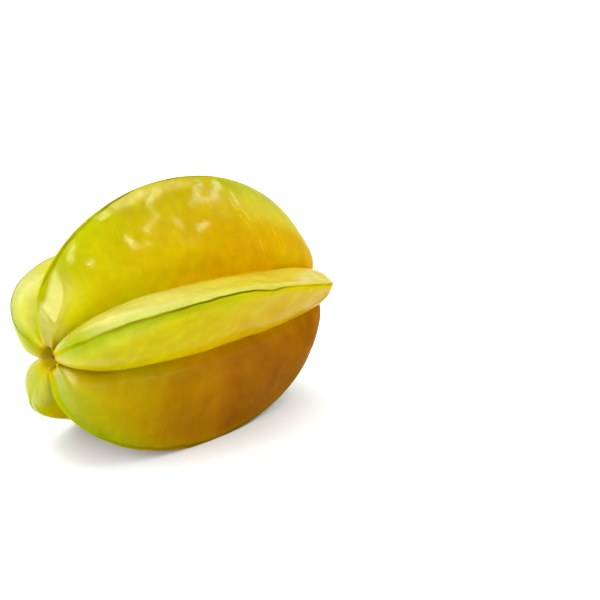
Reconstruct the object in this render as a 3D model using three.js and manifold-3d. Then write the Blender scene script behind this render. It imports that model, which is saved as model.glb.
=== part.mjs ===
// A whole star fruit (carambola), lying on two of its five ribs.
//
// The fruit is lofted: every ring round its axis is a five-pointed star whose points ride on the
// rib edges and whose hollows ride on the valleys. The stalk's broken stub stands in the pit at
// the stem end, and the dried tip of the style in the dimple at the blossom end.
//
// Millimetres, +Z up. +X runs along the axis from the stem end to the blossom end. The origin is
// on the surface that the fruit lies on, under the middle of the fruit's box.
import * as THREE from 'three';
import { mergeVertices } from 'three/addons/utils/BufferGeometryUtils.js';
import Module from 'manifold-3d';

// ---------------------------------------------------------------- driving dimensions, in mm
const LENGTH = 104; // from pole to pole, before the ends are dimpled
const RIB_REACH = 40; // from the axis to a rib's edge, halfway along

const STEM_POINTEDNESS = 0.81; // power of the ribs' outline at each end: 0.5 is round,
const BLOSSOM_POINTEDNESS = 0.76; // 1 is pointed
const STEM_HEAVINESS = 0.14; // how much further the ribs reach towards the stem end
const MIDDLE_FULLNESS = 0.02; // and how much further halfway along

const STEM_DIMPLE = { depth: 4, width: 12.5 }; // the broad hollow among the ribs' noses
const STEM_PIT = { depth: 3.6, width: 3.1 }; // and the steep little pit in it, round the stalk
const PIT_STEEPNESS = 4; // power of the pit's walls: 2 is as gentle as a dimple
const STEM_GROOVE = 6.4; // how far the valleys run in between those noses
const BLOSSOM_DIMPLE = { depth: 2.5, width: 6 };

const VALLEY_DEPTH = 1.65; // rib reach over valley reach, less one, halfway along
const STEM_VALLEY_RISE = 0.62; // power by which the valleys deepen from the stem pole
const BLOSSOM_VALLEY_RISE = 0.47; // and from the blossom pole
const VALLEY_LIMIT = 0.98; // the most that a valley reaches, as a part of its ribs' reach
const VALLEY_SLANT = 16; // degrees that a flank leans from the radius at the valley's floor
const VALLEY_PULL = 0.44; // the part of a flank's span over which it keeps that lean

const EDGE_SLANT = 34; // degrees between a flank and the radius at the rib's edge
const END_SLANT = 50; // degrees by which the poles open that angle
const END_SLANT_FADE = 4; // power by which this opening fades away from the poles
const EDGE_PULL = 0.33; // the part of a flank's span over which it keeps that angle
const EDGE_RADIUS = 0.9; // rounding of the rib's edge
const ROUNDING_SPAN = 3; // how many of those radii the rounding takes to fade down the flank

const NOSE_FULLNESS = 1.5; // how a nose bulges lengthwise out of its valleys: 1 is straight
const NOSE_PULL = 0.15; // how much further the flanks of a full nose keep their angles
const NOSE_WIDTH = 0.3; // and how much more room such a nose takes from its neighbours
const NOSE_FADE = 8; // power by which the noses fade away from the stem pole

const FLAT_DEPTH = 0.5; // how far the two lower ribs are flattened where they rest
const ROLL = -0.3; // degrees about the axis, which bring those two ribs level

const STUB = { radius: 0.9, tip: 0.75, length: 1.3 };
const STYLE = { radius: 0.8, tip: 0.3, length: 2 };
const SEAT_GAP = 0.3; // clearance between the fruit and what stands in its ends

const ROWS = 60; // faces along the fruit
const END_CROWDING = 0.7; // how much closer the rows stand at the poles: 0 is evenly
const FLANK_COLUMNS = 7; // faces from a rib's edge to the valley's floor
const EDGE_CROWDING = 1.5; // power that draws those columns to the edge: 1 is evenly
const STUB_SIDES = 12;

// No two ribs are alike. size and taper scale the reach, halfway along and towards the stem end;
// turn, sweep and bow are degrees round the axis: halfway along, added towards the stem end and
// taken away towards the blossom end, and added towards both. width is the rib's part of the room
// up to each neighbour, and swell scales how full its flanks are by the valleys. noses says how
// full its nose at the stem end is, from 0 to 1, on the side of the rib before and of the next.
// Ribs follow each other round from the top one, towards -Y, and the two lower ones rest.
const RIBS = [
  { // top
    size: 0.065, taper: -0.12, turn: -5.5, sweep: 2, bow: -2.5,
    width: 1.45, swell: 1, noses: [0.1, 1],
  },
  { // front
    size: 0.06, taper: 0.14, turn: -8.5, sweep: -6.5, bow: 4.5,
    width: 1, swell: 0.72, noses: [0.1, 0.1],
  },
  { // lower front
    size: -0.08, taper: -0.085, turn: 11, sweep: -3.5, bow: -3,
    width: 1.25, swell: 1, noses: [0.8, 0.3],
  },
  { // lower back
    size: -0.02, taper: 0.05, turn: -2.5, sweep: 3.5, bow: -1.5,
    width: 1.25, swell: 1, noses: [0.7, 0.3],
  },
  { // back
    size: 0.02, taper: -0.01, turn: 4.5, sweep: 0.75, bow: 0.75,
    width: 1.25, swell: 1, noses: [0.5, 0.5],
  },
];

const FULL_TURN = 2 * Math.PI;
const RIB_STEP = FULL_TURN / RIBS.length;
const STEM_POLE = -LENGTH / 2 + STEM_DIMPLE.depth + STEM_PIT.depth;
const BLOSSOM_POLE = LENGTH / 2 - BLOSSOM_DIMPLE.depth;

// ---------------------------------------------------------------- the fruit's form
const { lerp, clamp, degToRad } = THREE.MathUtils;

function hollow(shape, radius) {
  return shape.depth * Math.exp(-((radius / shape.width) ** 2));
}

// The part of the stem pit's depth that is reached at a distance from the axis.
function pit(radius) {
  return Math.exp(-((radius / STEM_PIT.width) ** PIT_STEEPNESS));
}

// How full a rib's nose is at a station, on the side of the rib before (-1) or of the next (1).
function nose(index, side, station) {
  const fullness = RIBS[index % RIBS.length].noses[side < 0 ? 0 : 1];
  return fullness * Math.max(Math.cos(station), 0) ** NOSE_FADE;
}

// The edge of a rib at a station: x along the axis, radius from it, and angle round it. Stations
// run from 0 at the stem pole to PI at the blossom pole, and index may run past the last rib.
function edge(index, station) {
  const rib = RIBS[index % RIBS.length];
  const swing = Math.cos(station);
  const pointedness = lerp(BLOSSOM_POINTEDNESS, STEM_POINTEDNESS, (1 + swing) / 2);
  const body = 1 + STEM_HEAVINESS * swing - MIDDLE_FULLNESS * Math.cos(2 * station);
  const reach = RIB_REACH * body * (1 + rib.size + rib.taper * swing);
  const radius = reach * Math.sin(station) ** pointedness;
  const stemward = station < Math.PI / 2;
  const dip = stemward
    ? hollow(STEM_DIMPLE, radius) + STEM_PIT.depth * pit(radius)
    : -hollow(BLOSSOM_DIMPLE, radius);
  const turn = degToRad(rib.turn + rib.sweep * swing + rib.bow * swing ** 2);
  return { x: -LENGTH / 2 * swing + dip, radius, angle: index * RIB_STEP + turn };
}

// The floor of the valley between a rib and the next, at a station.
function valley(index, station) {
  const before = edge(index, station);
  const after = edge(index + 1, station);
  const swing = Math.cos(station);
  const rise = lerp(BLOSSOM_VALLEY_RISE, STEM_VALLEY_RISE, (1 + swing) / 2);
  const depth = 1 + VALLEY_DEPTH * Math.sin(station) ** rise;
  const radius = (before.radius + after.radius) / 2 / depth;
  const stemFloor = -LENGTH / 2 + STEM_GROOVE;
  const x = (stemFloor + BLOSSOM_POLE) / 2 - (BLOSSOM_POLE - stemFloor) / 2 * swing;
  const dip = station < Math.PI / 2 ? (STEM_POLE - stemFloor) * pit(radius) : 0;
  const [width, nextWidth] = [[index, 1], [index + 1, -1]].map(([rib, side]) => (
    RIBS[rib % RIBS.length].width * (1 + NOSE_WIDTH * nose(rib, side, station))
  ));
  const share = width / (width + nextWidth);
  return { x: x + dip, radius, angle: lerp(before.angle, after.angle, share) };
}

// One side of a rib at a station, from its edge to the valley's floor, as a function of 0 to 1.
// It is a cubic curve in the plane of the ring, in axes along the rib's radius and square to it:
// it leaves the edge at EDGE_SLANT, swells, and comes into the valley at VALLEY_SLANT.
function flank(index, side, station) {
  const top = edge(index, station);
  const floor = side > 0 ? valley(index, station) : valley(index + RIBS.length - 1, station);
  const floorAngle = side > 0 ? floor.angle - top.angle : floor.angle - top.angle - FULL_TURN;
  const floorRadius = Math.min(floor.radius, VALLEY_LIMIT * top.radius);
  const start = new THREE.Vector2(top.radius, 0);
  const end = new THREE.Vector2(
    floorRadius * Math.cos(floorAngle),
    floorRadius * Math.sin(floorAngle),
  );
  const span = start.distanceTo(end);
  const slant = degToRad(EDGE_SLANT + END_SLANT * Math.cos(station) ** END_SLANT_FADE);
  const lean = floorAngle - side * degToRad(VALLEY_SLANT);
  const nosePull = NOSE_PULL * nose(index, side, station);
  const startPull = (EDGE_PULL + nosePull) * span;
  const endPull = (VALLEY_PULL * RIBS[index % RIBS.length].swell + nosePull) * span;
  const curve = new THREE.CubicBezierCurve(
    start,
    new THREE.Vector2(
      start.x - startPull * Math.cos(slant),
      side * startPull * Math.sin(slant),
    ),
    new THREE.Vector2(end.x + endPull * Math.cos(lean), end.y + endPull * Math.sin(lean)),
    end,
  );
  return (share) => {
    const point = curve.getPoint(share);
    if (share < 1) {
      const drop = Math.max(start.x - point.x, 0);
      const fade = Math.exp(-drop / (ROUNDING_SPAN * EDGE_RADIUS));
      const rounding = 2 * EDGE_RADIUS * drop * fade;
      point.y = side * Math.sqrt(point.y ** 2 + rounding);
    }
    const radius = point.length();
    const angle = Math.atan2(point.y, point.x) + top.angle;
    const height = clamp((radius - floorRadius) / Math.max(top.radius - floorRadius, 1e-6), 0, 1);
    return new THREE.Vector3(
      lerp(floor.x, top.x, 1 - (1 - height) ** NOSE_FULLNESS),
      -radius * Math.sin(angle),
      radius * Math.cos(angle),
    );
  };
}

// ---------------------------------------------------------------- solids
const wasm = await Module();
wasm.setup();

function bare(geometry) {
  geometry.deleteAttribute('normal');
  geometry.deleteAttribute('uv');
  return mergeVertices(geometry);
}

function toSolid(geometry) {
  const closed = bare(geometry);
  const vertProperties = new Float32Array(closed.attributes.position.array);
  const triVerts = new Uint32Array(closed.index.array);
  return new wasm.Manifold(new wasm.Mesh({ numProp: 3, vertProperties, triVerts }));
}

function toGeometry(solid) {
  const mesh = solid.getMesh();
  const geometry = new THREE.BufferGeometry();
  geometry.setAttribute('position', new THREE.BufferAttribute(mesh.vertProperties, 3));
  geometry.setIndex(new THREE.BufferAttribute(mesh.triVerts, 1));
  geometry.computeVertexNormals();
  return geometry;
}

function rowStation(row) {
  const share = 1 - row / ROWS;
  return Math.PI * (share - END_CROWDING * Math.sin(FULL_TURN * share) / FULL_TURN);
}

// A sphere's grid of faces, drawn out over the fruit. Its columns go round from the top rib's
// edge, and its rows from the blossom pole to the stem pole.
function fruitGeometry() {
  const columns = 2 * RIBS.length * FLANK_COLUMNS;
  const geometry = new THREE.SphereGeometry(1, columns, ROWS);
  const position = geometry.attributes.position;
  for (let row = 0; row <= ROWS; row += 1) {
    const station = rowStation(row);
    for (let column = 0; column <= columns; column += 1) {
      const part = Math.floor(column / FLANK_COLUMNS) % (2 * RIBS.length);
      const step = (column % FLANK_COLUMNS) / FLANK_COLUMNS;
      const falling = part % 2 === 0;
      const share = (falling ? step : 1 - step) ** EDGE_CROWDING;
      const rib = falling ? part / 2 : (part + 1) / 2 % RIBS.length;
      const point = flank(rib, falling ? 1 : -1, station)(share);
      position.setXYZ(row * (columns + 1) + column, point.x, point.y, point.z);
    }
  }
  return geometry;
}

// A round stump that stands on the axis, its wide end seated at x and its tip facing outwards.
function stumpGeometry(shape, x, outwards) {
  const geometry = new THREE.CylinderGeometry(shape.tip, shape.radius, shape.length, STUB_SIDES);
  geometry.rotateZ(-outwards * Math.PI / 2);
  geometry.translate(x + outwards * (SEAT_GAP + shape.length / 2), 0, 0);
  return bare(geometry);
}

// ---------------------------------------------------------------- laid down on two ribs
const lying = fruitGeometry().rotateX(degToRad(ROLL));
lying.computeBoundingBox();
const middle = lying.boundingBox.getCenter(new THREE.Vector3());
const rest = new THREE.Vector3(-middle.x, -middle.y, -lying.boundingBox.min.z - FLAT_DEPTH);
lying.translate(rest.x, rest.y, rest.z);

const below = new THREE.BoxGeometry(2 * LENGTH, 2 * LENGTH, LENGTH);
below.translate(0, 0, -LENGTH / 2);

// ---------------------------------------------------------------- finishes and the scene graph
const skin = new THREE.MeshStandardMaterial({ color: 0xd6c21f, roughness: 0.32, metalness: 0 });
const bark = new THREE.MeshStandardMaterial({ color: 0x4a3416, roughness: 0.85, metalness: 0 });
const husk = new THREE.MeshStandardMaterial({ color: 0x5e421c, roughness: 0.9, metalness: 0 });

function named(name, geometry, material) {
  const mesh = new THREE.Mesh(geometry, material);
  mesh.name = name;
  return mesh;
}

const fruit = named('fruit', toGeometry(toSolid(lying).subtract(toSolid(below))), skin);

const onAxis = new THREE.Group();
onAxis.position.copy(rest);
onAxis.add(named('stem_stub', stumpGeometry(STUB, STEM_POLE, -1), bark));
onAxis.add(named('style_tip', stumpGeometry(STYLE, BLOSSOM_POLE, 1), husk));

const starFruit = new THREE.Group();
starFruit.add(fruit, onAxis);
export default starFruit;
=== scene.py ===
# A whole star fruit on a pale floor: the fine surface, the finishes, the light and the camera.
import math
from collections import namedtuple

import bpy
import numpy as np
from mathutils import Matrix, Vector


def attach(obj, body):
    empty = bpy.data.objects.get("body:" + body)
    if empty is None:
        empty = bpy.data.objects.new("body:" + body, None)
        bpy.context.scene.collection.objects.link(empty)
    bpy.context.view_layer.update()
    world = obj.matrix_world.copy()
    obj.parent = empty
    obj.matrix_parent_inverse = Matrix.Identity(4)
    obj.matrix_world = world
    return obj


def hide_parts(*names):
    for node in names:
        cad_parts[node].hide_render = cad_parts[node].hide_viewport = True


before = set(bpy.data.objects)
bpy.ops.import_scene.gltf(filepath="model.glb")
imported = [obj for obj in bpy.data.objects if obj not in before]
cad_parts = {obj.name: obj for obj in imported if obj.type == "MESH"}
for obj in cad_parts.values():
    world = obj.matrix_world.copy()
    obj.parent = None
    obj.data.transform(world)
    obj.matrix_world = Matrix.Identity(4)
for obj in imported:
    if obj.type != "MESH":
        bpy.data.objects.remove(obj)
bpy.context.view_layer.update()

scene = bpy.context.scene
MM = 0.001

# ---------------------------------------------------------------- the fruit's form, in mm
# The same form as in part.mjs, from the same named values, on a finer grid.
LENGTH = 104.0  # from pole to pole, before the ends are dimpled
RIB_REACH = 40.0  # from the axis to a rib's edge, halfway along
STEM_POINTEDNESS, BLOSSOM_POINTEDNESS = 0.81, 0.76  # power of the ribs' outline: 0.5 is round, 1 pointed
STEM_HEAVINESS, MIDDLE_FULLNESS = 0.14, 0.02  # how much further the ribs reach there
STEM_DIMPLE, STEM_PIT, BLOSSOM_DIMPLE = (4.0, 12.5), (3.6, 3.1), (2.5, 6.0)  # depth, width
PIT_STEEPNESS = 4  # power of the pit's walls: 2 is as gentle as a dimple
STEM_GROOVE = 6.4  # how far the valleys run in between the ribs' noses
VALLEY_DEPTH = 1.65  # rib reach over valley reach, less one, halfway along
STEM_VALLEY_RISE, BLOSSOM_VALLEY_RISE = 0.62, 0.47  # power by which the valleys deepen from each pole
VALLEY_LIMIT = 0.98  # the most that a valley reaches, as a part of its ribs' reach
VALLEY_SLANT, EDGE_SLANT = 16.0, 34.0  # degrees between a flank and the radius at its valley and its edge
VALLEY_PULL, EDGE_PULL = 0.44, 0.33  # the parts of the flank's span over which it keeps them
END_SLANT, END_SLANT_FADE = 50.0, 4  # degrees by which the poles open EDGE_SLANT, and how steeply that fades
EDGE_RADIUS, ROUNDING_SPAN = 0.9, 3  # rounding of the rib's edge, and the radii that it takes to fade
NOSE_FULLNESS = 1.5  # how a nose bulges lengthwise out of its valleys: 1 is straight
NOSE_PULL, NOSE_WIDTH = 0.15, 0.3  # how much further a full nose's flanks keep theirs, how much wider it is
NOSE_FADE = 8  # power by which the noses fade away from the stem pole
FLAT_DEPTH = 0.5  # how far the two lower ribs are flattened where they rest
ROLL = -0.3  # degrees about the axis, which bring those two ribs level
SEAT_GAP = 0.3  # clearance between the fruit and what stands in its ends

# No two ribs are alike. size and taper scale the reach, halfway along and towards the stem end;
# turn, sweep and bow are degrees round the axis: halfway along, added towards the stem end and
# taken away towards the blossom end, and added towards both. width is the rib's part of the room
# up to each neighbour, and swell scales how full its flanks are by the valleys. noses says how
# full its nose at the stem end is, from 0 to 1, on the side of the rib before and of the next.
Rib = namedtuple("Rib", "size taper turn sweep bow width swell noses")
RIBS = [  # round from the top one, towards -Y
    Rib(0.065, -0.12, -5.5, 2.0, -2.5, 1.45, 1.0, (0.1, 1.0)),
    Rib(0.06, 0.14, -8.5, -6.5, 4.5, 1.0, 0.72, (0.1, 0.1)),
    Rib(-0.08, -0.085, 11.0, -3.5, -3.0, 1.25, 1.0, (0.8, 0.3)),
    Rib(-0.02, 0.05, -2.5, 3.5, -1.5, 1.25, 1.0, (0.7, 0.3)),
    Rib(0.02, -0.01, 4.5, 0.75, 0.75, 1.25, 1.0, (0.5, 0.5)),
]
SIDES = len(RIBS)
TOP, FRONT, LOWER_FRONT, LOWER_BACK, BACK = range(SIDES)
BEHIND, AHEAD = -1, 1  # a rib's two sides: towards the rib before it and towards the next
STEP = 2 * math.pi / SIDES
STEM_POLE = -LENGTH / 2 + STEM_DIMPLE[0] + STEM_PIT[0]
BLOSSOM_POLE = LENGTH / 2 - BLOSSOM_DIMPLE[0]

ROWS, FLANK_COLUMNS = 240, 40  # faces along the fruit, and from a rib's edge to the valley's floor
END_CROWDING = 0.7  # how much closer the rows stand at the poles: 0 is evenly
EDGE_CROWDING = 1.6  # power that draws the columns to the edge: 1 is evenly


def hollow(shape, radius):
    return shape[0] * np.exp(-((radius / shape[1]) ** 2))


def pit(radius):
    """The part of the stem pit's depth that is reached at a distance from the axis."""
    return np.exp(-((radius / STEM_PIT[1]) ** PIT_STEEPNESS))


def nose(index, side, station):
    """How full a rib's nose is at a station, on one of its sides."""
    fullness = RIBS[index % SIDES].noses[0 if side == BEHIND else 1]
    return fullness * np.where(station < math.pi / 2, np.cos(station), 0) ** NOSE_FADE


def edge(index, station):
    """The edge of a rib: x along the axis, radius from it and angle round it.

    Stations run from 0 at the stem pole to pi at the blossom pole.
    """
    rib = RIBS[index % SIDES]
    swing = np.cos(station)
    stemness = (1 + swing) / 2
    pointedness = BLOSSOM_POINTEDNESS + (STEM_POINTEDNESS - BLOSSOM_POINTEDNESS) * stemness
    body = 1 + STEM_HEAVINESS * swing - MIDDLE_FULLNESS * np.cos(2 * station)
    reach = RIB_REACH * body * (1 + rib.size + rib.taper * swing)
    radius = reach * np.maximum(np.sin(station), 0) ** pointedness
    dip = np.where(
        station < math.pi / 2,
        hollow(STEM_DIMPLE, radius) + STEM_PIT[0] * pit(radius),
        -hollow(BLOSSOM_DIMPLE, radius),
    )
    angle = index * STEP + np.radians(rib.turn + rib.sweep * swing + rib.bow * swing**2)
    return -LENGTH / 2 * swing + dip, radius, angle


def room(index, side, station):
    """The room that a rib takes on one of its sides, beside what its neighbour takes."""
    return RIBS[index % SIDES].width * (1 + NOSE_WIDTH * nose(index, side, station))


def valley(index, station):
    """The floor of the valley between a rib and the next: x, radius and angle."""
    _, radius_before, angle_before = edge(index, station)
    _, radius_after, angle_after = edge(index + 1, station)
    swing = np.cos(station)
    rise = BLOSSOM_VALLEY_RISE + (STEM_VALLEY_RISE - BLOSSOM_VALLEY_RISE) * (1 + swing) / 2
    depth = 1 + VALLEY_DEPTH * np.maximum(np.sin(station), 0) ** rise
    radius = (radius_before + radius_after) / 2 / depth
    stem_floor = -LENGTH / 2 + STEM_GROOVE
    x = (stem_floor + BLOSSOM_POLE) / 2 - (BLOSSOM_POLE - stem_floor) / 2 * swing
    dip = np.where(station < math.pi / 2, (STEM_POLE - stem_floor) * pit(radius), 0)
    room_before, room_after = room(index, AHEAD, station), room(index + 1, BEHIND, station)
    share = room_before / (room_before + room_after)
    return x + dip, radius, angle_before + (angle_after - angle_before) * share


def flank(index, side, station, share):
    """One side of a rib: points (rows, columns, 3) and heights (rows, columns).

    share runs from 0 at the rib's edge to 1 at the valley's floor, and the height from 1 to 0. Each
    row is a cubic curve in the plane of its ring, in axes along the rib's radius and square to it.
    """
    top_x, top_radius, top_angle = edge(index, station)
    if side == AHEAD:
        floor_x, floor_radius, floor_angle = valley(index, station)
        floor_angle = floor_angle - top_angle
    else:
        floor_x, floor_radius, floor_angle = valley(index + SIDES - 1, station)
        floor_angle = floor_angle - top_angle - 2 * math.pi
    floor_radius = np.minimum(floor_radius, VALLEY_LIMIT * top_radius)
    start = np.stack([top_radius, 0 * top_radius], -1)[:, None]
    end = (floor_radius[:, None] * np.stack([np.cos(floor_angle), np.sin(floor_angle)], -1))[:, None]
    span = np.linalg.norm(end - start, axis=-1, keepdims=True)
    slant = np.radians(EDGE_SLANT + END_SLANT * np.cos(station) ** END_SLANT_FADE)
    lean = floor_angle - side * math.radians(VALLEY_SLANT)
    leave = np.stack([-np.cos(slant), side * np.sin(slant)], -1)[:, None]
    arrive = np.stack([np.cos(lean), np.sin(lean)], -1)[:, None]
    fuller = NOSE_PULL * nose(index, side, station)[:, None, None]
    first = start + (EDGE_PULL + fuller) * span * leave
    second = end + (VALLEY_PULL * RIBS[index % SIDES].swell + fuller) * span * arrive
    t = share[None, :, None]
    point = (1 - t) ** 3 * start + 3 * (1 - t) ** 2 * t * first + 3 * (1 - t) * t**2 * second + t**3 * end
    drop = np.maximum(top_radius[:, None] - point[..., 0], 0)
    rounding = 2 * EDGE_RADIUS * drop * np.exp(-drop / (ROUNDING_SPAN * EDGE_RADIUS))
    across = np.where(share[None, :] < 1, side * np.sqrt(point[..., 1] ** 2 + rounding), point[..., 1])
    radius = np.hypot(point[..., 0], across)
    angle = np.arctan2(across, point[..., 0]) + top_angle[:, None]
    reach = np.maximum(top_radius - floor_radius, 1e-6)[:, None]
    height = np.clip((radius - floor_radius[:, None]) / reach, 0, 1)
    x = floor_x[:, None] + (top_x - floor_x)[:, None] * (1 - (1 - height) ** NOSE_FULLNESS)
    return np.stack([x, -radius * np.sin(angle), radius * np.cos(angle)], -1), height


def fruit_grid():
    """The bare fruit as rows of closed rings, each from the top rib's edge round the axis.

    Gives the rows' stations and, for each point, its place, its height from 0 in the valley to 1 at
    the edge, how far it is from its rib's edge, in mm and below 0 behind the rib, and its rib.
    """
    share = np.linspace(0, 1, ROWS + 1)
    station = math.pi * (share - END_CROWDING * np.sin(2 * math.pi * share) / (2 * math.pi))
    step = np.arange(FLANK_COLUMNS) / FLANK_COLUMNS
    points, heights, edge_mm, ribs = [], [], [], []
    for rib in range(SIDES):
        for side in (AHEAD, BEHIND):
            owner = rib if side == AHEAD else (rib + 1) % SIDES
            shares = (step if side == AHEAD else 1 - step) ** EDGE_CROWDING
            block, height = flank(owner, side, station, shares)
            start = flank(owner, side, station, np.array([0.0]))[0]
            if side == AHEAD:
                path = np.cumsum(np.linalg.norm(np.diff(block, axis=1, prepend=start), axis=-1), axis=1)
            else:
                ring = np.concatenate([block, start], axis=1)
                lengths = np.linalg.norm(np.diff(ring, axis=1), axis=-1)
                path = -np.cumsum(lengths[:, ::-1], axis=1)[:, ::-1]
            points.append(block)
            heights.append(height)
            edge_mm.append(path)
            ribs.append(np.full(height.shape, owner))
    return station, *(np.concatenate(blocks, 1) for blocks in (points, heights, edge_mm, ribs))


def roll(points, degrees=ROLL):
    """The points turned about the fruit's axis."""
    x, y, z = np.moveaxis(points, -1, 0)
    cosine, sine = math.cos(math.radians(degrees)), math.sin(math.radians(degrees))
    return np.stack([x, y * cosine - z * sine, y * sine + z * cosine], -1)


stations, bare, height, from_edge, rib_of = fruit_grid()
along = np.broadcast_to((stations / math.pi)[:, None], height.shape)  # 0 to 1, from stem to blossom
from_poles = np.sin(stations)[:, None]  # 0 at the poles, 1 halfway
low, high = roll(bare).reshape(-1, 3).min(0), roll(bare).reshape(-1, 3).max(0)
rest = np.array([-(low[0] + high[0]) / 2, -(low[1] + high[1]) / 2, -low[2] - FLAT_DEPTH])


def unplaced(place):
    """A place where the fruit lies, as it is on the bare grid."""
    return roll(place - rest, -ROLL)


# ---------------------------------------------------------------- tools for the relief and the skin
NOISE_CELLS = 64  # random values each way, before the noise repeats
NOISE_SHIFT = 31.7  # cells from the corner of its table to the middle of the fruit


def noise(points, size, seed):
    """Smooth noise from -1 to 1 whose lumps are about size across (a number, or one for each axis)."""
    table = np.random.default_rng(seed).uniform(-1, 1, (NOISE_CELLS,) * 3)
    place = points / np.asarray(size) + NOISE_SHIFT
    cell = np.floor(place).astype(int)
    inside = place - cell
    ease = inside * inside * inside * (inside * (6 * inside - 15) + 10)
    total = 0
    for corner in np.ndindex(2, 2, 2):
        weight = np.prod(np.where(corner, ease, 1 - ease), axis=-1)
        x, y, z = np.moveaxis((cell + corner) % NOISE_CELLS, -1, 0)
        total = total + table[x, y, z] * weight
    return total


def smooth(gone, whole, value):
    """From 0 where value is at gone to 1 where it is at whole, which may be the lower of the two."""
    share = np.clip((value - gone) / (whole - gone), 0, 1)
    return share * share * (3 - 2 * share)


def bell(value, width):
    return np.exp(-((value / width) ** 2))


def patch(rib, *fades, side=None):
    """1 on a part of one rib, or of one side of it, and 0 elsewhere.

    Each fade is a measure of the skin, its value where the patch is gone and where it is whole.
    """
    mask = (rib_of == rib) * 1.0
    if side:
        mask = mask * (side * from_edge > 0)
    for measure, gone, whole in fades:
        mask = mask * smooth(gone, whole, measure)
    return mask


def around_rings(points):
    return np.roll(points, -1, axis=1) - np.roll(points, 1, axis=1)


def unit(vectors):
    return vectors / np.maximum(np.linalg.norm(vectors, axis=-1, keepdims=True), 1e-9)


# ---------------------------------------------------------------- the skin's relief, in mm
LUMP_SIZE, LUMP_HEIGHT = 15.0, 0.38
DIMPLE_SIZE, DIMPLE_HEIGHT = 7.5, 0.10
WAVE_SIZE, WAVE_HEIGHT, EDGE_WAVE_HEIGHT = (4.6, 13.0, 13.0), 0.05, 0.2  # they run down from the edges
WRINKLE_SIZE, WRINKLE_HEIGHT = (2.3, 8.0, 8.0), 0.05
KEEL_HEIGHT, KEEL_WIDTH = 0.18, 0.45  # the fine keel on each rib's edge
FURROW_DEPTH, FURROW_PLACE, FURROW_WIDTH = 0.09, 1.5, 0.8  # the furrow on each side of the keel
WANDER, WANDER_LENGTH, WANDER_WIDTH = 0.5, 9.0, 3.0  # how the edges stray from side to side
RIB_APART = 40.0  # keeps the wander of one edge unlike the next one's
DENT_DEPTH, DENT_RADIUS = 0.2, 2.2
DENTS = [  # those that show in the photo: place where the fruit lies, depth and radius in parts of these two
    ((-20.4, -5.6, 63.1), 1.0, 1.0),
    ((-5.7, -5.2, 65.4), 1.0, 1.0),
    ((-36.2, -3.6, 59.8), 1.0, 1.0),
    ((-47.1, -3.2, 51.9), 3.5, 2.5),  # the flat spot on the top rib's nose
]
EXTRA_DENTS, EXTRA_DEPTHS, EXTRA_RADII = 26, (0.4, 1.0), (0.6, 1.2)  # some more all round


def skin_relief():
    off_edge = smooth(0.8, 4.0, np.abs(from_edge)) * smooth(0.05, 0.35, from_poles)
    near_edge = smooth(0.35, 0.8, height) * smooth(0.3, 0.6, from_poles)
    lumps = LUMP_HEIGHT * noise(bare, LUMP_SIZE, 1) + DIMPLE_HEIGHT * noise(bare, DIMPLE_SIZE, 2)
    wave_height = (WAVE_HEIGHT + EDGE_WAVE_HEIGHT * near_edge) * (0.4 + 0.6 * smooth(0.45, 0.6, along))
    waves = wave_height * noise(bare, WAVE_SIZE, 3)
    wrinkles = WRINKLE_HEIGHT * near_edge * noise(bare, WRINKLE_SIZE, 4)
    furrow = FURROW_DEPTH * bell(np.abs(from_edge) - FURROW_PLACE, FURROW_WIDTH)
    keel = KEEL_HEIGHT * bell(from_edge, KEEL_WIDTH) - furrow
    return off_edge * (lumps + waves + wrinkles) + smooth(0.1, 0.5, from_poles) * keel


def dent_depths():
    scatter = np.random.default_rng(7)
    dents = [(unplaced(np.array(place)), depth, radius) for place, depth, radius in DENTS]
    for _ in range(EXTRA_DENTS):
        row = scatter.integers(ROWS // 6, ROWS - ROWS // 6)
        column = scatter.integers(bare.shape[1])
        dents.append((bare[row, column], scatter.uniform(*EXTRA_DEPTHS), scatter.uniform(*EXTRA_RADII)))
    total = 0
    for middle, depth, radius in dents:
        distance = np.linalg.norm(bare - middle, axis=-1)
        total = total + DENT_DEPTH * depth * bell(distance, radius * DENT_RADIUS)
    return total * smooth(0.5, 2.5, np.abs(from_edge))


def edge_wander():
    apart = np.stack([bare[..., 0], RIB_APART * rib_of, 0 * height], -1)
    stray = noise(apart, (WANDER_LENGTH, 1.0, 1.0), 8)
    return WANDER * stray * bell(from_edge, WANDER_WIDTH) * smooth(0.3, 0.6, from_poles)


normal = unit(np.cross(around_rings(bare), np.gradient(bare, axis=0)))
surface = bare + (skin_relief() - dent_depths())[..., None] * normal
surface = surface + edge_wander()[..., None] * unit(around_rings(bare))
placed = roll(surface) + rest
placed[..., 2] = np.maximum(placed[..., 2], 0)


# ---------------------------------------------------------------- the photo's view
def direction(azimuth, elevation):
    """The way to what stands at these degrees: azimuth 0 is towards -Y, and 90 towards +X."""
    azimuth, elevation = math.radians(azimuth), math.radians(elevation)
    level = math.cos(elevation)
    return Vector((math.sin(azimuth) * level, -math.cos(azimuth) * level, math.sin(elevation)))


LENS, SENSOR, IMAGE = 85.0, 36.0, 600.0  # mm, mm, and the photo's side in pixels
AZIMUTH, ELEVATION = -41.9, 19.53  # degrees
DISTANCE = 430.6 * MM
SEEN_AT = (183.15, 319.5)  # the photo's pixel that shows the middle of the fruit's axis
back = direction(AZIMUTH, ELEVATION)
right = direction(AZIMUTH + 90, 0)
up = back.cross(right)
focal = IMAGE * LENS / SENSOR
to_right, to_top = (SEEN_AT[0] - IMAGE / 2) / focal, (IMAGE / 2 - SEEN_AT[1]) / focal
axis_middle = Vector((rest * MM).tolist())
viewpoint = axis_middle + DISTANCE * (back - to_right * right - to_top * up)


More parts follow.
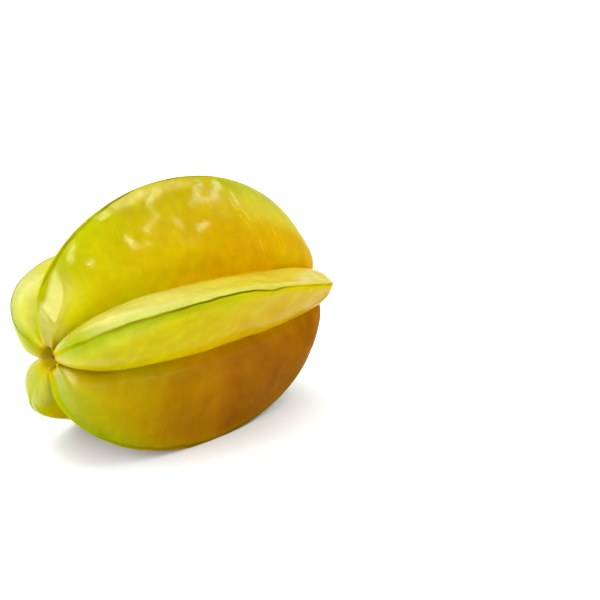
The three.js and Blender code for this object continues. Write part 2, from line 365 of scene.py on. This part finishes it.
def pixels_of_skin():
    """The pixel of the photo, x and y, where each point of the skin falls, and whether it faces it."""
    sight = np.array(viewpoint) / MM - placed
    depth = sight @ np.array(back)
    x = IMAGE / 2 - focal * (sight @ np.array(right)) / depth
    y = IMAGE / 2 + focal * (sight @ np.array(up)) / depth
    return x, y, (sight * roll(normal)).sum(-1) > 0


pixel_x, pixel_y, faces_photo = pixels_of_skin()


def shown_at(pixel):
    """The place on the top rib, in mm, that the photo shows at one of its pixels."""
    distance = np.hypot(pixel_x - pixel[0], pixel_y - pixel[1])
    hidden = (rib_of != TOP) | ~faces_photo
    return placed.reshape(-1, 3)[np.where(hidden, np.inf, distance).argmin()]


# ---------------------------------------------------------------- meshes
def flatten(grid):
    """The values of a grid's points in the order of its mesh's vertices."""
    body = grid[1:-1].reshape(-1, *grid.shape[2:])
    return np.concatenate([grid[0, :1], body, grid[-1, :1]])


def grid_mesh(name, grid):
    """A closed mesh from rows of rings, whose first and last rows are single points."""
    rows, columns = grid.shape[0] - 1, grid.shape[1]
    vertices = flatten(grid)
    last = len(vertices) - 1
    faces = []
    for column in range(columns):
        after = (column + 1) % columns
        faces.append((0, 1 + after, 1 + column))
        faces.append((last, last - columns + column, last - columns + after))
    for row in range(rows - 2):
        start = 1 + row * columns
        for column in range(columns):
            after = (column + 1) % columns
            faces.append((start + column, start + after, start + columns + after, start + columns + column))
    mesh = bpy.data.meshes.new(name)
    mesh.from_pydata((vertices * MM).tolist(), [], faces)
    mesh.validate()
    mesh.polygons.foreach_set("use_smooth", [True] * len(mesh.polygons))
    mesh.update()
    obj = bpy.data.objects.new(name, mesh)
    scene.collection.objects.link(obj)
    return obj


def set_attribute(obj, name, values):
    layer = obj.data.attributes.new(name, "FLOAT", "POINT")
    layer.data.foreach_set("value", np.ascontiguousarray(flatten(values), dtype=np.float32))


# ---------------------------------------------------------------- the skin's looks, place by place
SKIN = {  # for each rib, from the top one on
    "stem_ripeness": (0.17, 0.17, 0.42, 0.08, 0.02),  # from 0, lime green, to 1, amber
    "blossom_ripeness": (0.51, 0.50, 0.88, 0.60, 0.50),
    "turns_from": (0.16, 0.12, 0.17, 0.10, 0.10),  # where along the fruit it turns from one
    "turns_to": (0.56, 0.75, 0.55, 0.50, 0.60),  # to the other
    "greener_edge": (0.15, 0.08, 0.0, 0.15, 0.10),
    "valley_shading": (1.0, 0.86, 0.67, 0.92, 1.0),  # painted light and shade: how light the skin is made
    "edge_shading": (0.69, 0.76, 0.59, 0.85, 0.88),
    "stem_shading": (0.98, 0.85, 1.0, 0.80, 0.92),
    "line_strength": (0.9, 1.0, 0.8, 0.4, 0.9),  # of the dark line along the rib's edge; on the lower front rib partly painted shade
    "line_start": (0.0, 0.01, 0.14, 0.07, 0.0),
    "green_rim": (0.7, 1.0, 1.0, 0.7, 1.0),
}
VALLEY_SHARE = 0.5  # a rib's part in the ripeness of the valley's floor; its neighbour has the rest
NOSE_GREEN = 0.32  # how much greener the edge of the lower front rib's nose is
VALLEY_RIPE = 0.07  # how much riper the top rib is by the valleys, on its far half
PIT_TONE = 0.74
LINE_GROWTH = 0.14  # the part of the way along the fruit over which the dark line grows to its strength
BASE_GLOSS, UPWARD_GLOSS, NOSE_GLOSS, WAXY_GLOSS = 0.10, 0.20, 1.5, 1.5
DULLING = {FRONT: 0.75, LOWER_FRONT: 0.5, BACK: 0.75}  # of the ribs past their stem ends
FAR_DULLING, SIDE_DULLING, LIT_DULLING = 0.5, 0.85, 0.85
WAXY = [  # places on the top rib that catch the windows as in the photo, given there by the pixels of their two ends, their half width in mm and their strength
    # pixels of their two ends, their half width in mm and their strength
    ((71, 243), (70, 262), 1.3, 0.45),
    ((89, 264), (91, 263), 1.1, 0.8),
    ((97, 217), (107, 213), 1.7, 0.7),
    ((115, 204), (140, 194), 2.2, 0.35),
    ((157, 190), (151, 200), 1.5, 0.6),
    ((151, 200), (155, 215), 1.4, 0.5),
    ((157, 215), (149, 230), 1.4, 0.6),
    ((127, 240), (136, 246), 1.2, 0.8),
    ((136, 246), (147, 245), 1.1, 0.8),
    ((200, 182), (197, 195), 1.6, 0.65),
    ((197, 195), (192, 204), 1.1, 0.5),
    ((217, 184), (214, 194), 1.8, 0.5),
    ((200, 200), (212, 200), 1.1, 0.4),
    ((198, 229), (206, 225), 1.2, 0.9),
    ((183, 243), (196, 239), 1.1, 0.35),
    ((176, 220), (179, 225), 1.4, 0.33),
    ((232, 196), (238, 205), 1.6, 0.3),
]
WAXY_WHOLE, WAXY_GONE = 0.35, 1.15  # in half widths from such a place's middle line
WAXY_RAGGED, WAXY_GRAIN = 0.5, 1.5  # how far its rim strays, and over what size, in mm

# the parts of the skin that several looks share
top_stem_half = patch(TOP, (along, 0.45, 0.3))
top_stem_end = patch(TOP, (along, 0.10, 0.06))
top_nose_valley = patch(TOP, (height, 0.8, 0.5), (along, 0.035, 0.06), (along, 0.26, 0.13), side=AHEAD)
top_nose_foot = patch(
    TOP, (from_edge, 0.2, 1.2), (from_edge, 6.0, 3.0), (along, 0.07, 0.085), (along, 0.115, 0.095)
)
top_shoulder = patch(TOP, (height, 0.6, 0.8), (along, 0.19, 0.24), (along, 0.38, 0.3), side=AHEAD)
top_crest = patch(TOP, (from_edge, 0.2, 1.2), (from_edge, 5.0, 2.5), (along, 0.34, 0.38), (along, 0.56, 0.5))
top_far_face = patch(TOP, (height, 0.5, 0.7), (along, 0.61, 0.67), side=AHEAD)
lower_nose = patch(
    LOWER_FRONT, (height, 0.3, 0.5), (height, 0.82, 0.65), (along, 0.03, 0.06), (along, 0.12, 0.08),
    side=BEHIND,
)


def lime_band(*fades):
    """A part of the lime green band that runs below the front rib's edge."""
    return patch(FRONT, (from_edge, 0.5, 2.0), (from_edge, 8.0, 4.0), *fades)


def by_rib(look, rib=rib_of):
    return np.asarray(SKIN[look])[rib % SIDES]


def from_line():
    """How far the skin is from the dark line, which strays from the edge, in mm over its breadth; on the
    lower front rib the line is shifted and broadened as painted shade by its edge.
    """
    lower_front = patch(LOWER_FRONT, (along, 0.18, 0.26))
    shift = top_stem_half * (1.5 * smooth(0.19, 0.11, along) - 0.8) + 0.8 * lower_front
    broader = 0.5 * top_stem_half + 0.4 * lower_front + 0.4 * patch(FRONT, (along, 0.4, 0.25))
    return (from_edge + shift) * (1 - broader)


def rib_ripeness(rib):
    turned = smooth(by_rib("turns_from", rib), by_rib("turns_to", rib), along)
    return by_rib("stem_ripeness", rib) * (1 - turned) + by_rib("blossom_ripeness", rib) * turned


def ripeness():
    """How ripe the skin is: each rib's ripeness, which runs over into its neighbour's in the valleys."""
    neighbour = rib_of + np.where(from_edge >= 0, AHEAD, BEHIND)
    own_share = VALLEY_SHARE + (1 - VALLEY_SHARE) * smooth(0.0, 0.35, height)
    ripe = rib_ripeness(rib_of) * own_share + rib_ripeness(neighbour) * (1 - own_share)
    greener = by_rib("greener_edge") + NOSE_GREEN * patch(LOWER_FRONT, (along, 0.35, 0.15))
    greener = greener + 0.1 * patch(TOP, (along, 0.3, 0.8))
    ripe = ripe - greener * smooth(0.45, 0.95, height)
    changes = [  # how much riper, and where
        (0.08, patch(FRONT, (from_edge, 0.5, 4.0))),
        (-0.12, patch(FRONT, (along, 0.18, 0.26), side=BEHIND)),
        (-0.09, lime_band((along, 0.16, 0.26), (along, 0.52, 0.42))),
        (-0.30, patch(TOP, (height, 0.86, 0.95), (along, 0.56, 0.64), (along, 0.88, 0.78))),
        (0.12, patch(TOP, (along, 0.2, 0.12), side=AHEAD)),
        (VALLEY_RIPE, patch(TOP, (height, 0.35, 0.0), (along, 0.3, 0.6))),
        (-0.20, top_nose_valley),
        (-0.15, top_far_face),
        (-0.14, patch(LOWER_FRONT, (height, 0.3, 0.7), (along, 0.22, 0.13), side=BEHIND)),
        (0.25, patch(LOWER_BACK, (along, 0.10, 0.18), (from_edge, -4.0, -8.0))),
        (0.60, smooth(0.045, 0.0, along)),  # in the pit
    ]
    return ripe + sum(amount * where for amount, where in changes)


def painted_shading():
    """Painted light and shade, lighter in the valleys and darker towards the ribs' edges and on the lower
    front rib; the skin is also darker in the pit.
    """
    light = by_rib("valley_shading") + (by_rib("edge_shading") - by_rib("valley_shading")) * smooth(0.1, 0.8, height)
    light = light * (PIT_TONE + (1 - PIT_TONE) * smooth(0.0, 0.035, along))
    light = light * (1 - 0.08 * patch(BACK, (along, 0.06, 0.03)))
    light = light * (1 - (1 - by_rib("stem_shading")) * smooth(0.35, 0.12, along))
    light = light * (1 - 0.22 * patch(TOP, (along, 0.2, 0.12), (height, 0.4, 0.6), side=AHEAD))
    light = light + 0.12 * patch(FRONT, (from_edge, 2.0, 4.0), (along, 0.4, 0.3))
    light = light + 0.11 * lime_band((along, 0.14, 0.18), (along, 0.36, 0.28))
    light = light * (1 - 0.25 * patch(BACK, (height, 0.85, 0.97), (along, 0.5, 0.3)))
    light = light * (1 + 0.32 * top_nose_valley)
    light = light + 0.30 * patch(LOWER_FRONT, (along, 0.3, 0.52))
    light = light * (1 + 0.28 * smooth(0.25, 0.03, height) * smooth(0.15, 0.25, along))
    light = light + 0.10 * patch(TOP, (along, 0.4, 0.7)) + 0.08 * patch(FRONT, (along, 0.3, 0.5))
    light = light + 0.10 * patch(FRONT, (along, 0.25, 0.45), side=AHEAD) + 0.14 * lower_nose
    light = light * (1 + 0.08 * top_crest + 0.04 * top_far_face)
    return light * (1 + 0.10 * top_shoulder + 0.12 * top_nose_foot)


def painted_sheen():
    """Painted sheen and highlights: how far the skin pales to cream, on the front rib's upper side and on
    parts of the others.
    """
    upper_side = patch(FRONT, (height, 0.1, 0.45), (along, 0.1, 0.18), side=BEHIND)
    changes = [  # how much paler, and where
        (0.36, upper_side * (1 - 0.6 * smooth(0.3, 0.5, along))),
        (0.07, lime_band((along, 0.14, 0.18), (along, 0.32, 0.24))),
        (0.10, top_nose_valley * smooth(0.14, 0.08, along)),
        (0.30, top_nose_foot),
        (0.26, top_crest),
        (0.09, top_far_face),
        (0.50, lower_nose),
        (0.14, patch(LOWER_BACK, (along, 0.02, 0.05), (along, 0.14, 0.08))),
        (0.15, patch(BACK, (along, 0.05, 0.08), (along, 0.3, 0.2))),
    ]
    return sum(amount * where for amount, where in changes)


def distance_to(start, end):
    """How far the skin is from the straight line between two places, in mm."""
    way = end - start
    share = np.clip(((placed - start) @ way) / (way @ way), 0, 1)
    return np.linalg.norm(placed - start - share[..., None] * way, axis=-1)


def waxiness():
    """The waxy places on the top rib's face."""
    ragged = WAXY_RAGGED * noise(surface, WAXY_GRAIN, 9)
    waxy = 0
    for start, end, width, strength in WAXY:
        distance = distance_to(shown_at(start), shown_at(end))
        place = smooth(WAXY_GONE * width, WAXY_WHOLE * width, distance + ragged)
        waxy = np.maximum(waxy, strength * place)
    return waxy * patch(TOP, (from_edge, 0.3, 1.3))


def glossiness():
    """How glossy the skin is: more where it faces up, and hardly along the ribs' edges."""
    upward = smooth(-0.1, 0.5, roll(normal)[..., 2])
    stem_end = (rib_of != LOWER_BACK) * smooth(0.2, 0.12, along)
    gloss = BASE_GLOSS - 0.05 * patch(LOWER_FRONT, side=BEHIND) + UPWARD_GLOSS * np.maximum(upward, stem_end)
    nose_face = patch(TOP, (along, 0.04, 0.09), (along, 0.22, 0.15), (height, 0.5, 0.75), side=AHEAD)
    gloss = gloss + NOSE_GLOSS * nose_face - 0.2 * patch(TOP, (along, 0.06, 0.03), side=AHEAD)
    for rib, dulling in DULLING.items():
        gloss = gloss * (1 - dulling * patch(rib, (along, 0.2, 0.3)))
    # the dull strip along the ribs' edges: broader on the top rib's nose, and missing on its blunt end
    broader = patch(TOP, (along, 0.09, 0.12), (along, 0.25, 0.2))
    off_edge = smooth(0.3 + broader, 2.0 + 1.3 * broader, np.abs(from_edge))
    blunt_end = patch(TOP, (from_edge, -1.5, -0.5), (along, 0.11, 0.07))
    gloss = gloss * np.maximum(off_edge, blunt_end) * (1 - FAR_DULLING * smooth(0.55, 0.75, along))
    other_sides = 1 - patch(TOP) * (from_edge >= 0)
    gloss = gloss * (1 - SIDE_DULLING * other_sides * smooth(0.55, 0.8, along))
    # the sides that face back or down are dull on the stem half
    below = 0.3 + 0.7 * smooth(0.09, 0.12, along) * smooth(-1.0, -3.0, from_edge)
    dull = patch(TOP) * (from_edge < -1.0) + patch(LOWER_FRONT, side=AHEAD)
    dull = dull + patch(LOWER_BACK, side=BEHIND) * below
    gloss = gloss * (1 - dull * smooth(0.4, 0.25, along))
    lit_face = patch(TOP, (from_edge, 0.0, 1.5), (along, 0.18, 0.24))
    return gloss * (1 - LIT_DULLING * lit_face) + WAXY_GLOSS * waxiness()


def green_rim():
    """How strong the green rim of each rib's edge is."""
    rim = by_rib("green_rim") * (1 - 0.8 * patch(LOWER_FRONT, (along, 0.2, 0.4)))
    rim = rim * (1 - 0.6 * patch(FRONT, (along, 0.4, 0.55)))
    return rim * (1 - 0.4 * top_stem_half) * (1 - 0.7 * top_stem_end)


def edge_line_and_shade():
    """How strong the dark line along each rib's edge is: the edges' own dark line, and on the lower front rib
    partly painted shade.
    """
    start = by_rib("line_start")
    line = by_rib("line_strength") * smooth(start, start + LINE_GROWTH, along) * smooth(1.0, 0.93, along)
    line = line * (1 - 0.5 * patch(FRONT, (along, 0.52, 0.62))) * (1 - 0.2 * patch(FRONT, (along, 0.4, 0.25)))
    return line * (1 - 0.25 * top_stem_half) * (1 - top_stem_end)


looks = {  # what the skin's material reads from the mesh
    "height": height,
    "along": along,
    "from_edge": from_edge,
    "from_line": from_line(),
    "ripeness": ripeness(),
    # the dark line along the edges, partly painted shade on the lower front rib
    "edge_line_and_shade": edge_line_and_shade(),
    "scuffed": patch(TOP, (height, 0.2, 0.4), (height, 0.9, 0.82), side=AHEAD),
    # painted light and shade
    "painted_shading": painted_shading(),
    "gloss": glossiness(),
    "rim": green_rim(),
    # painted sheen and highlights, as a share of cream
    "pale": painted_sheen(),
}
fruit = grid_mesh("fruit_skin", placed)
for name, values in looks.items():
    set_attribute(fruit, name, values)


# ---------------------------------------------------------------- node helpers
def linear(value):
    value = value / 255
    return value / 12.92 if value <= 0.04045 else ((value + 0.055) / 1.055) ** 2.4


def colour(red, green, blue):
    return (linear(red), linear(green), linear(blue), 1.0)


class Nodes:
    """Short names for the nodes of one material."""

    def __init__(self, name):
        self.material = bpy.data.materials.new(name)
        self.material.use_nodes = True
        self.tree = self.material.node_tree
        self.tree.nodes.clear()
        self.shader = self.tree.nodes.new("ShaderNodeBsdfPrincipled")
        output = self.tree.nodes.new("ShaderNodeOutputMaterial")
        self.link(self.shader.outputs[0], output.inputs[0])

    def link(self, source, target):
        if isinstance(source, (int, float, tuple)):
            target.default_value = source
        else:
            self.tree.links.new(source, target)

    def look(self, values):
        """Sets or links the shader's inputs."""
        for name, value in values.items():
            self.link(value, self.shader.inputs[name])

    def attribute(self, name):
        node = self.tree.nodes.new("ShaderNodeAttribute")
        node.attribute_name = name
        return node.outputs["Fac"]

    def position(self):
        return self.tree.nodes.new("ShaderNodeTexCoord").outputs["Object"]

    def stretched(self, vector, scale):
        node = self.tree.nodes.new("ShaderNodeMapping")
        self.link(vector, node.inputs["Vector"])
        node.inputs["Scale"].default_value = scale
        return node.outputs[0]

    def math(self, operation, first, second=0.0, third=0.0):
        node = self.tree.nodes.new("ShaderNodeMath")
        node.operation = operation
        for value, socket in zip((first, second, third), node.inputs):
            self.link(value, socket)
        return node.outputs[0]

    def times(self, first, second):
        return self.math("MULTIPLY", first, second)

    def plus(self, first, second):
        return self.math("ADD", first, second)

    def spread(self, value, amount, middle=0.0):
        """A noise, from 0 to 1, turned into values that stray by half the amount from the middle."""
        return self.math("MULTIPLY_ADD", value, amount, middle - amount / 2)

    def steps(self, value, low, high, out_low=0.0, out_high=1.0):
        node = self.tree.nodes.new("ShaderNodeMapRange")
        node.interpolation_type = "SMOOTHSTEP"
        for item, socket in zip((value, low, high, out_low, out_high), node.inputs):
            self.link(item, socket)
        return node.outputs[0]

    def noise(self, vector, scale, detail=3.0, roughness=0.5):
        """Noise from 0 to 1, with scale lumps to a metre."""
        node = self.tree.nodes.new("ShaderNodeTexNoise")
        self.link(vector, node.inputs["Vector"])
        node.inputs["Scale"].default_value = scale
        node.inputs["Detail"].default_value = detail
        node.inputs["Roughness"].default_value = roughness
        return node.outputs["Fac"]

    def ramp(self, value, stops):
        node = self.tree.nodes.new("ShaderNodeValToRGB")
        self.link(value, node.inputs[0])
        elements = node.color_ramp.elements
        while len(elements) < len(stops):
            elements.new(0.5)
        for element, (place, shade) in zip(elements, stops):
            element.position = place
            element.color = shade
        return node.outputs[0]

    def mix(self, share, shade, other_shade):
        node = self.tree.nodes.new("ShaderNodeMix")
        node.data_type = "RGBA"
        self.link(share, node.inputs[0])
        self.link(shade, node.inputs[6])
        self.link(other_shade, node.inputs[7])
        return node.outputs[2]

    def scaled(self, shade, factor):
        node = self.tree.nodes.new("ShaderNodeVectorMath")
        node.operation = "SCALE"
        self.link(shade, node.inputs[0])
        self.link(factor, node.inputs["Scale"])
        return node.outputs[0]

    def bump(self, relief, distance):
        node = self.tree.nodes.new("ShaderNodeBump")
        node.inputs["Distance"].default_value = distance
        self.link(relief, node.inputs["Height"])
        return node.outputs[0]


# ---------------------------------------------------------------- the skin's material
RIPENESS_COLOURS = [
    (0.0, colour(164, 165, 5)),
    (0.22, colour(186, 173, 3)),
    (0.42, colour(191, 163, 2)),
    (0.56, colour(186, 144, 1)),
    (0.70, colour(168, 118, 1)),
    (0.85, colour(146, 92, 0)),
    (1.0, colour(124, 68, 0)),
]
RIM_GREEN = colour(154, 168, 4)
# the cream of the painted sheen and highlights
SHEEN_CREAM = colour(215, 206, 124)
LINE_OLIVE = colour(84, 78, 4)
SCUFF_YELLOW = colour(204, 184, 40)
CLOUDS, MOTTLES, BLOTCHES = 0.30, 0.20, 0.36  # how much they change the ripeness, and the last the lightness that the painted light and shade gives
RIM_STRENGTH, STEM_RIM, FAR_RIM = 0.85, 4.5, 2.2  # the rim's breadths are in mm
LINE_WHOLE, LINE_GONE = 0.1, 0.42  # in mm from its middle
LINE_WANDER = 0.7  # mm from side to side, also of the rim
STRING_STRETCH, STRING_LIGHT = (1.0, 0.25, 0.25), 1.10
SCUFFS = ((0.652, 0.0018), (0.668, 0.0030), (0.730, 0.0024))  # place along the fruit, half width
SCUFF_STRENGTH, SCUFF_LEAN, SCUFF_WANDER = 0.65, 0.05, 0.05
SKIN_ROUGHNESS, EDGE_ROUGHNESS = (0.10, 0.18), 0.35  # its range, and what the edges have more
PORE_DEPTH = 0.02 * MM
EXPORTED_SPECULAR = 0.2  # the socket's own value, which the export keeps when it drops the varying one


def skin_shade(wax, pos, skin):
    """The skin's colour, from its ripeness to the dark line along the ribs' edges."""
    clouds = wax.noise(pos, 45, 2.0)
    mottles = wax.noise(pos, 140, 3.0)
    ripe = wax.plus(wax.plus(skin["ripeness"], wax.spread(clouds, CLOUDS)), wax.spread(mottles, MOTTLES))
    shade = wax.ramp(ripe, RIPENESS_COLOURS)
    # the green rim of each rib's edge, broad at the stem end
    wander = wax.spread(wax.noise(pos, 160, 2.0), LINE_WANDER)
    distance = wax.math("ABSOLUTE", wax.plus(skin["from_line"], wander))
    rim_breadth = wax.steps(skin["along"], 0.1, 0.5, STEM_RIM, FAR_RIM)
    rim = wax.steps(wax.math("DIVIDE", distance, rim_breadth), 0.1, 1.0, RIM_STRENGTH, 0.0)
    rim = wax.times(rim, wax.steps(skin["along"], 0.2, 0.7, 1.0, 0.5))
    rim = wax.times(wax.times(rim, wax.steps(skin["along"], 0.03, 0.08)), skin["rim"])
    shade = wax.mix(rim, shade, RIM_GREEN)
    # the painted sheen and highlights, in cream
    shade = wax.mix(skin["pale"], shade, SHEEN_CREAM)
    blotches = wax.spread(wax.noise(pos, 260, 3.0, 0.6), BLOTCHES, 1.0)
    # the painted light and shade, broken up by random blotches
    shade = wax.scaled(shade, wax.times(skin["painted_shading"], blotches))
    # lighter, slightly stringy streaks that run round the fruit
    strings = wax.noise(wax.stretched(pos, STRING_STRETCH), 420, 3.0, 0.6)
    shade = wax.scaled(shade, wax.steps(strings, 0.5, 0.75, 1.0, STRING_LIGHT))
    # the dark line, fainter here and there: the edges' own, and partly painted shade on the lower front rib
    dark = wax.steps(distance, LINE_WHOLE, LINE_GONE, 1.0, 0.0)
    dark = wax.times(dark, wax.steps(wax.noise(pos, 90, 2.0), 0.36, 0.6, 0.6, 1.0))
    return wax.mix(wax.times(dark, skin["edge_line_and_shade"]), shade, LINE_OLIVE)


def with_scuffs(shade, wax, pos, skin):
    """Fine pale scuffs that run down from the edge, broken here and there."""
    course = wax.math("MULTIPLY_ADD", skin["height"], SCUFF_LEAN, skin["along"])
    course = wax.plus(course, wax.spread(wax.noise(pos, 70, 3.0), SCUFF_WANDER))
    broken = wax.steps(wax.noise(pos, 330, 2.0), 0.38, 0.56)
    for place, width in SCUFFS:
        gap = wax.math("ABSOLUTE", wax.math("SUBTRACT", course, place))
        scuff = wax.steps(gap, 0.3 * width, width, SCUFF_STRENGTH, 0.0)
        shade = wax.mix(wax.times(scuff, wax.times(skin["scuffed"], broken)), shade, SCUFF_YELLOW)
    return shade


def skin_material():
    wax = Nodes("skin_waxy")
    pos = wax.position()
    skin = {name: wax.attribute(name) for name in looks}
    shade = with_scuffs(skin_shade(wax, pos, skin), wax, pos, skin)
    # the gloss is grainy, but for the noses at the stem end
    grain = wax.noise(pos, 650, 2.0)
    least = wax.steps(skin["along"], 0.17, 0.22, 1.05, 0.5)
    specular = wax.times(skin["gloss"], wax.steps(grain, 0.35, 0.6, least, 1.15))
    rough = wax.steps(wax.noise(pos, 220, 4.0), 0.3, 0.7, *SKIN_ROUGHNESS)
    edge_rough = wax.steps(wax.math("ABSOLUTE", skin["from_edge"]), 0.4, 1.6, EDGE_ROUGHNESS, 0.0)
    rough = wax.plus(rough, edge_rough)
    pores = wax.bump(wax.noise(pos, 1400, 2.0), PORE_DEPTH)
    wax.look({
        "Base Color": shade,
        "Subsurface Weight": 0.35,
        "Subsurface Radius": (1.0, 0.65, 0.08),
        "Subsurface Scale": 5 * MM,
        "IOR": 1.45,
        "Specular IOR Level": EXPORTED_SPECULAR,
        "Specular Tint": (1.0, 0.98, 0.35, 1.0),
        "Roughness": rough,
        "Normal": pores,
    })
    wax.look({"Specular IOR Level": specular})
    return wax.material


fruit.data.materials.append(skin_material())
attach(fruit, "root")
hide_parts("fruit")

# ---------------------------------------------------------------- the stalk's stub and the style's tip
FIBRE_STRETCH = 0.25  # draws the fibres out along the axis
FIBRE_DEPTH = 0.12 * MM


def dry_material(name, light_shade, dark_shade, fineness):
    husk = Nodes(name)
    pos = husk.position()
    fibres = husk.noise(husk.stretched(pos, (FIBRE_STRETCH, 1.0, 1.0)), fineness, 4.0, 0.65)
    patches = husk.noise(pos, fineness / 4, 3.0)
    light_share = husk.steps(husk.times(fibres, husk.plus(patches, 0.5)), 0.3, 0.7)
    shade = husk.mix(light_share, dark_shade, light_shade)
    rough = husk.steps(fibres, 0.3, 0.7, 0.95, 0.7)
    relief = husk.bump(fibres, FIBRE_DEPTH)
    husk.look({"Base Color": shade, "Roughness": rough, "Normal": relief, "Specular IOR Level": 0.15})
    return husk.material


def stump(name, node, x, outwards, rings, columns, ridges, depth, bend, seed):
    """A dry stump on the fruit's axis, ridged and frayed by depth, whose end bends sideways by bend.

    rings are (way along it, radius) in mm, from its seat to the middle of its end.
    """
    turn = np.linspace(0, 2 * math.pi, columns, endpoint=False)
    way, radius = (np.array(values)[:, None] for values in zip(*rings))
    outer = way / way.max()
    ring = np.stack([outwards * way + 0 * turn, radius * np.sin(turn), radius * np.cos(turn)], -1)
    drawn_out = ring * (FIBRE_STRETCH, 1, 1)
    ridged = np.cos(ridges * turn + 2 * noise(drawn_out, 1.0, seed + 1))
    fray = depth * (noise(drawn_out, 0.35, seed) + ridged) / radius.max()
    ring[..., 1:] *= (1 + fray * radius / radius.max())[..., None]
    ring[..., 0] += outwards * 2 * depth * noise(ring, 0.4, seed + 2) * smooth(0.6, 1.0, outer)
    ring[..., 1] += bend * smooth(0, 1, outer) ** 2
    for end in (0, -1):
        ring[end] = ring[end].mean(0)
    if outwards > 0:
        ring = ring[:, ::-1]
    obj = grid_mesh(name, ring + rest + np.array([x, 0, 0]))
    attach(obj, "root")
    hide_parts(node)
    return obj


STUB_RINGS = [
    (-0.6, 0.0), (-0.6, 0.84), (-0.25, 0.9), (0.05, 0.88), (0.2, 0.8), (0.35, 0.74), (0.5, 0.75),
    (0.65, 0.78), (0.8, 0.76), (0.95, 0.75), (1.1, 0.73), (1.22, 0.68), (1.27, 0.6), (1.24, 0.5),
    (1.16, 0.4), (1.1, 0.3), (1.07, 0.2), (1.08, 0.1), (1.1, 0.0),
]
STYLE_RINGS = [
    (-0.6, 0.0), (-0.6, 0.74), (-0.2, 0.78), (0.05, 0.72), (0.25, 0.62), (0.45, 0.6), (0.65, 0.52),
    (0.85, 0.5), (1.05, 0.42), (1.25, 0.38), (1.45, 0.36), (1.65, 0.3), (1.8, 0.27), (1.92, 0.2),
    (1.96, 0.1), (1.98, 0.0),
]
stub = stump(
    "stalk_stub", "stem_stub", STEM_POLE - SEAT_GAP, -1, STUB_RINGS,
    columns=56, ridges=9, depth=0.06, bend=0.0, seed=11,
)
stub.data.materials.append(dry_material("stalk_bark", colour(74, 44, 16), colour(26, 14, 5), 1800))
style = stump(
    "style_husk", "style_tip", BLOSSOM_POLE + SEAT_GAP, 1, STYLE_RINGS,
    columns=40, ridges=5, depth=0.07, bend=0.12, seed=21,
)
style.data.materials.append(dry_material("style_husk", colour(128, 92, 40), colour(58, 38, 16), 2400))


# ---------------------------------------------------------------- the camera
camera = bpy.data.objects.new("camera", bpy.data.cameras.new("camera"))
scene.collection.objects.link(camera)
camera.data.lens, camera.data.sensor_width = LENS, SENSOR
camera.data.clip_start, camera.data.clip_end = 0.01, 20
camera.location = viewpoint
camera.rotation_mode = "QUATERNION"
camera.rotation_quaternion = Matrix((right, up, back)).transposed().to_quaternion()
scene.camera = camera

# ---------------------------------------------------------------- the floor
FLOOR_REACH, FLOOR_DROP = 6.0, 0.02 * MM
FLOOR_SHADES = [(0.0, (0.81, 0.84, 0.765, 1)), (1.0, (0.82, 0.85, 0.775, 1))]
floor_mesh = bpy.data.meshes.new("floor")
corners = [(x * FLOOR_REACH, y * FLOOR_REACH, -FLOOR_DROP) for x, y in ((-1, -1), (1, -1), (1, 1), (-1, 1))]
floor_mesh.from_pydata(corners, [], [(0, 1, 2, 3)])
floor = bpy.data.objects.new("floor", floor_mesh)
scene.collection.objects.link(floor)
paper = Nodes("floor_paper")
paper_shade = paper.ramp(paper.noise(paper.position(), 3.0, 2.0), FLOOR_SHADES)
paper.look({"Base Color": paper_shade, "Roughness": 0.9, "Specular IOR Level": 0.1})
floor.data.materials.append(paper.material)

# ---------------------------------------------------------------- the light
TARGET = Vector((0, 0, 35 * MM))  # by the middle of the fruit
WHITE, WINDOW_LIGHT = (1.0, 1.0, 1.0), (1.0, 1.0, 1.45)
SKY_STRENGTH, SKY_SPREAD = 0.8, 100  # the second in degrees
SOFTBOXES = [  # name, azimuth, elevation, distance, width, depth, brightness, tint
    ("front_fill", -25, 32, 1.2, 1.2, 0.8, 1.1, WHITE),
    ("left_window", -97, 25, 0.8, 0.8, 0.5, 2.2, WINDOW_LIGHT),
    ("left_fill", -97, 25, 0.8, 0.8, 0.5, 3.8, WINDOW_LIGHT),
    ("back_window", 178, 43, 1.2, 1.1, 0.8, 1.5, WHITE),
    ("front_window", 40, 44, 1.0, 0.35, 0.35, 3.0, WINDOW_LIGHT),
    ("right_window", 73, 38, 1.0, 0.33, 0.2, 3.0, WINDOW_LIGHT),
    ("small_window", -15, 54, 1.0, 0.08, 0.08, 8.0, WINDOW_LIGHT),
    ("top_window", 18, 74, 1.0, 0.2, 0.28, 3.0, WINDOW_LIGHT),
    ("low_window", -57, 65, 1.0, 0.2, 0.12, 5.0, WINDOW_LIGHT),
]


def lamp(name, kind, azimuth, elevation, distance):
    obj = bpy.data.objects.new(name, bpy.data.lights.new(name, kind))
    scene.collection.objects.link(obj)
    out = direction(azimuth, elevation)
    obj.location = TARGET + out * distance
    obj.rotation_mode = "QUATERNION"
    obj.rotation_quaternion = out.to_track_quat("Z", "Y")
    obj.visible_camera = False
    return obj


sky = lamp("sky", "SUN", 170, 66, 2.0)
sky.data.energy = SKY_STRENGTH
sky.data.angle = math.radians(SKY_SPREAD)
for name, azimuth, elevation, distance, width, depth, brightness, tint in SOFTBOXES:
    box = lamp(name, "AREA", azimuth, elevation, distance)
    box.data.shape = "RECTANGLE"
    box.data.size, box.data.size_y = width, depth
    box.data.energy = brightness * math.pi * width * depth
    box.data.color = tint
bpy.data.objects["left_fill"].visible_glossy = False  # it lights the fruit, but isn't mirrored in it

world = bpy.data.worlds.new("studio")
scene.world = world
world.use_nodes = True
background = world.node_tree.nodes["Background"]
background.inputs["Color"].default_value = (1.0, 1.0, 1.0, 1.0)
background.inputs["Strength"].default_value = 1.0
scene.view_settings.view_transform = "Standard"
